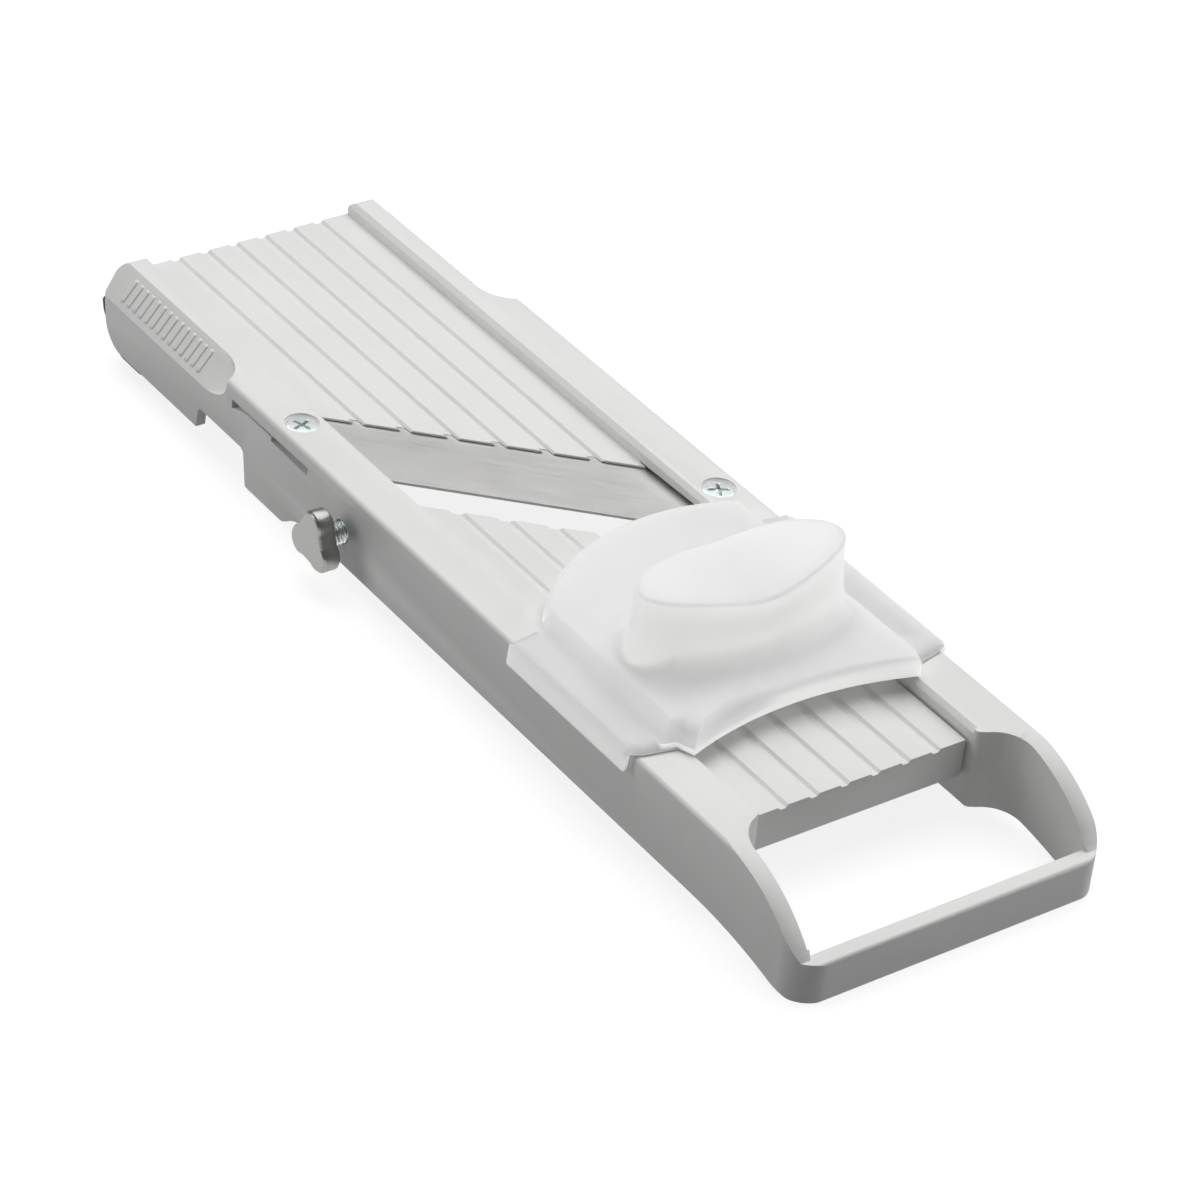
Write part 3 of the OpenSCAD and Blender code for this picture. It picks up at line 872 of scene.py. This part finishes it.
def cross_recess(x, y):
    """Depth of the cross pressed into a head. It is full at the middle and runs out towards the end
    of each arm, and the arms narrow a little on the way."""
    along = np.maximum(np.abs(x), np.abs(y))
    beside = np.minimum(np.abs(x), np.abs(y))
    wall = np.clip((CROSS_HALF * (1.15 - 0.3 * along / CROSS_REACH) - beside) / 0.18, 0, 1)
    return CROSS_DEEP * wall * np.clip((CROSS_REACH - along) / 0.7, 0, 1)


def blade_screw(name, node, spin):
    """A countersunk screw in the place of its node: a domed head with its cross turned by a spin,
    the cone below it, the threaded shank and a blunt point."""
    low, high = node_box(node)
    disc = all_round(np.concatenate([np.linspace(0.02, 3.3, 34), (3.7, 4.0, 4.2, HEAD_RADIUS)]))
    dome = -0.12 - DOME_DROP * (disc / 4.3) ** 2 - RIM_DROP * np.clip((disc - 4.0) / 0.32, 0, 1) ** 2
    top = dome - cross_recess(disc * np.cos(AROUND - spin), disc * np.sin(AROUND - spin))
    shank, depth = threaded(-2.6, -11.6, crest=2.45, depth=0.4, pitch=0.8)
    radius = np.concatenate([disc, all_round((HEAD_RADIUS, 2.5, 2.4)), shank, all_round((1.9, 0.6))])
    height = np.concatenate([top, all_round((-0.7, -2.0, -2.4)), depth, all_round((-12.4, -12.9))])
    place = ((low[0] + high[0]) / 2, (low[1] + high[1]) / 2, high[2])
    settle(skin(name, turned(radius, height) + place), "body", "plated_steel", PLATED_STEEL, node)


blade_screw("left_blade_screw", "blade_screw_left", math.radians(18))
blade_screw("right_blade_screw", "blade_screw_right", math.radians(62))

# %% [markdown]
# ## Studs
#
# Two threaded studs do the adjusting. One stands upright below the plate and sets how thick a slice
# is. The other lies on its side in the left wall and clamps a toothed blade. Both are the same
# turned shape, so it is made once at the origin, and only the second one's points are laid over.

# %% Studs
STUD_RADIUS, THREAD_DEPTH, PITCH = 3.0, 0.45, 1.0
CLAMP_LOW, CLAMP_HIGH = node_box("clamp_stud")
ADJUSTER_LOW, ADJUSTER_HIGH = node_box("adjuster_stud")
CLAMP_Y, CLAMP_Z = (CLAMP_LOW[1] + CLAMP_HIGH[1]) / 2, CLAMP_LOW[2] + STUD_RADIUS
ADJUSTER_Y = (ADJUSTER_LOW[1] + ADJUSTER_HIGH[1]) / 2


def stud_rings(length):
    """A threaded stud that stands on the origin, with a small chamfer at each end."""
    radius, height = threaded(0.5, length - 0.5, STUD_RADIUS, THREAD_DEPTH, PITCH)
    chamfer, rim = 2.4, 2.9
    return turned(np.concatenate([all_round((chamfer, rim)), radius, all_round((rim, chamfer))]),
                  np.concatenate([all_round((0, 0.45)), height, all_round((length - 0.45, length))]))


def sideways(rings, x, y, z):
    """Lays rings on their side at a place: what was up points to the left, along -X."""
    return np.stack([x - rings[..., 2], y + rings[..., 1], z + rings[..., 0]], -1)


clamp_stud = stud_rings(CLAMP_HIGH[0] - CLAMP_LOW[0])
settle(skin("clamp_screw_stud", sideways(clamp_stud, CLAMP_HIGH[0], CLAMP_Y, CLAMP_Z)),
       "clamp_screw", "plated_steel", PLATED_STEEL, "clamp_stud")
adjuster_stud = stud_rings(ADJUSTER_HIGH[2] - ADJUSTER_LOW[2]) + (0, ADJUSTER_Y, ADJUSTER_LOW[2])
settle(skin("adjuster_screw_stud", adjuster_stud), "adjuster_screw", "plated_steel", PLATED_STEEL,
       "adjuster_stud")

# %% [markdown]
# ## Thumb screws
#
# Each stud is turned by a cast head with three round lobes. Three cylinders joined together would
# leave creases. The outline is a formula instead: the radius at an angle is the far side of the
# nearest lobe's circle, or the flat side between two lobes, whichever is further out.

# %% Thumb screws
LOBE, LOBE_AT = 4.0, 4.7
WEB, WEB_FROM = 5.92, math.radians(35)


def trilobe_radius(turn):
    """Radius of the three-lobed outline. A circle of radius r whose middle is c away, at an angle
    b from the ray, is left at c cos b + sqrt(r^2 - (c sin b)^2). The side between two lobes is a
    straight line, which starts 35 degrees from a lobe's tip."""
    third = 2 * np.pi / 3
    b = (AROUND - turn + third / 2) % third - third / 2
    lobe = LOBE_AT * np.cos(b) + np.sqrt(np.maximum(LOBE ** 2 - (LOBE_AT * np.sin(b)) ** 2, 0))
    web = WEB / np.cos(third / 2 - np.abs(b))
    return np.where(np.abs(b) > WEB_FROM, np.maximum(lobe, web), lobe)


def knob_rings(thick, turn):
    """A cast head: its underside, a chamfer, the side, a chamfer, then the flat face. It stands on
    the origin and its face is on top."""
    r = trilobe_radius(turn)
    side = [(r * 0 + 3.1, 0.0), (r - 0.75, 0.0), (r - 0.6, 0.05), (r - 0.05, 0.6), (r, 0.75),
            (r, thick - 0.75), (r - 0.05, thick - 0.6), (r - 0.6, thick - 0.05),
            (r - 0.75, thick)]
    face = [(r * 0.6, thick), (r * 0.3, thick), (r * 0.05, thick)]
    return np.stack([turned(radius, height + 0 * r) for radius, height in side + face])


low, high = node_box("clamp_head")
clamp_head = sideways(knob_rings(high[0] - low[0], math.radians(115)), high[0], CLAMP_Y, CLAMP_Z)
settle(skin("clamp_knob_head", clamp_head), "clamp_knob", "cast_metal", CAST_METAL, "clamp_head")
low, high = node_box("adjuster_head")
upside_down = knob_rings(high[2] - low[2], math.radians(270)) * (1, 1, -1)
settle(skin("adjuster_knob_head", upside_down + (0, ADJUSTER_Y, high[2])), "adjuster_screw",
       "cast_metal", CAST_METAL, "adjuster_head")

# %% [markdown]
# ## Rubber pad
#
# A dark rubber pad wraps the nose from below to half way up its far side, so the slicer doesn't
# slip on a bowl or a table. A thickened copy of the nose would be equally thick all over. The real
# pad is thin round the curve and thick at its two ends, so it is swept along the nose's outline
# with a thickness that changes on the way.

# %% Rubber pad
NOSE_MID, NOSE_RADIUS, NOSE_LOW = 302.0, 9.0, 5.0
PAD_FLAT_HALF, PAD_END = 43.9, 1.2


def nose_path():
    """Points (distance, height) along the outline, and the outward direction at each: flat below,
    a quarter circle, then the slightly leaning far face."""
    turn = np.radians(np.linspace(0, 90, 25))
    curve = np.stack([NOSE_MID + NOSE_RADIUS * np.sin(turn),
                      NOSE_LOW + NOSE_RADIUS * (1 - np.cos(turn))], 1)
    flat = np.stack([np.linspace(291.2, NOSE_MID - 1, 8), np.full(8, NOSE_LOW)], 1)
    rise = np.linspace(0.6, 3.9, 8)
    lean = np.stack([NOSE_MID + NOSE_RADIUS + 0.25 * rise, NOSE_LOW + NOSE_RADIUS + rise], 1)
    path = np.concatenate([flat, curve, lean])
    step = np.gradient(path, axis=0)
    step /= np.linalg.norm(step, axis=1)[:, None]
    return path, np.stack([step[:, 1], -step[:, 0]], 1)


def pad_rings():
    """One loop across the slicer for every point of the path. The pad is 0.45 mm thick round the
    curve and swells smoothly, by 1.3 mm below and by 2.75 mm up the far face. The outer side is
    rounded towards both ends of a loop, as thickness times sqrt(1 - u^2) over the last 1.2 mm."""
    path, outward = nose_path()
    t = np.linspace(0, 1, len(path))
    thick = 0.45 + 1.3 * smooth((0.42 - t) / 0.2) + 2.75 * smooth((t - 0.64) / 0.16)
    thick = np.minimum(thick, 0.3 + 30 * np.minimum(t + 0.01, 1.03 - t))
    end = PAD_FLAT_HALF + PAD_END * np.sin(np.radians(np.linspace(0, 90, 7)))
    outer = np.concatenate([-end[::-1], np.linspace(-43, 43, 44), end])
    past_flat = (np.abs(outer) - PAD_FLAT_HALF).clip(0) / PAD_END
    rounding = np.sqrt(np.clip(1 - past_flat ** 2, 0, 1)) * 0.95 + 0.05
    x = np.concatenate([outer, outer[::-1]]) + 0 * t[:, None]
    lift = thick[:, None] * np.concatenate([rounding, 0 * rounding - 0.05])
    place = path[:, None] + outward[:, None] * lift[..., None]
    return np.stack([x, place[..., 0] - HANDLE_MID, place[..., 1]], -1)


settle(skin("rubber_pad", pad_rings()), "body", "rubber", RUBBER, "nose_pad")

# %% [markdown]
# ## Grip ribs
#
# The sloping pads beside the nose carry a row of low ribs for the fingers. Fourteen tiny bars could
# be placed one by one. It is simpler to see each pad's ribs as one thin slab, whose top rises and
# falls along its length and whose bottom is sunk in the pad, so only the crests show.

# %% Grip ribs
RIBS_NEAR, RIBS_FAR, RIB_PITCH = 264.0, 306.0, 3.0
RIB_TOP, RIB_END = 1.8, 9.2
RIB_HIGH, RIB_SUNK, SLAB_LOW = 0.45, 0.12, -0.6
CHEEK_EDGE = 38.5
CHEEK_SLOPE = np.array((7.0, -8.3)) / math.hypot(7, 8.3)


def ribbed_slab(side):
    """Rings along the slicer; each runs down the slope on top and back up below. The height is
    0.33 mm times a rounded wave, and fades to nothing at both ends of each rib."""
    along = np.linspace(RIBS_NEAR, RIBS_FAR, 421)[:, None]
    down = np.linspace(RIB_TOP, RIB_END, 25)[None, :]
    wave = np.clip(0.5 - 1.6 * np.cos(2 * np.pi * (along - RIBS_NEAR) / RIB_PITCH), 0, 1) ** 0.7
    fade = np.clip(np.minimum(down - RIB_TOP, RIB_END - down) / 0.7, 0, 1) ** 0.5
    lift = np.concatenate([RIB_HIGH * wave * fade - RIB_SUNK, 0 * along + 0 * down + SLAB_LOW], 1)
    drop = np.concatenate([down, down[:, ::-1]], 1) + 0 * along
    across = CHEEK_EDGE + CHEEK_SLOPE[0] * drop - CHEEK_SLOPE[1] * lift
    height = RAIL_TOP + CHEEK_SLOPE[1] * drop + CHEEK_SLOPE[0] * lift
    return np.stack([side * across, along - HANDLE_MID + 0 * drop, height], -1)


for side, name in ((-1, "left_grip_ribs"), (1, "right_grip_ribs")):
    settle(skin(name, ribbed_slab(side)), "body", "white_moulding", MOULDED)

# %% [markdown]
# ## Parts that keep their exact form
#
# The blade, the rod, the brass inserts and the cap are simple, exact shapes, and most of them are
# hidden inside. Making them again would gain nothing, so the frame's own pieces are shown, each
# with its finish.

# %% Remaining parts
KEPT = {"main_blade": BLADE_STEEL, "pivot_rod": PLATED_STEEL, "blade_insert_left": BRASS,
        "blade_insert_right": BRASS, "clamp_insert": BRASS, "adjuster_insert": BRASS,
        "thrust_cap": MOULDED}
for node, finish in KEPT.items():
    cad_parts[node].data.materials.clear()
    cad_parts[node].data.materials.append(finish)
print(len(KEPT), "parts keep their form")
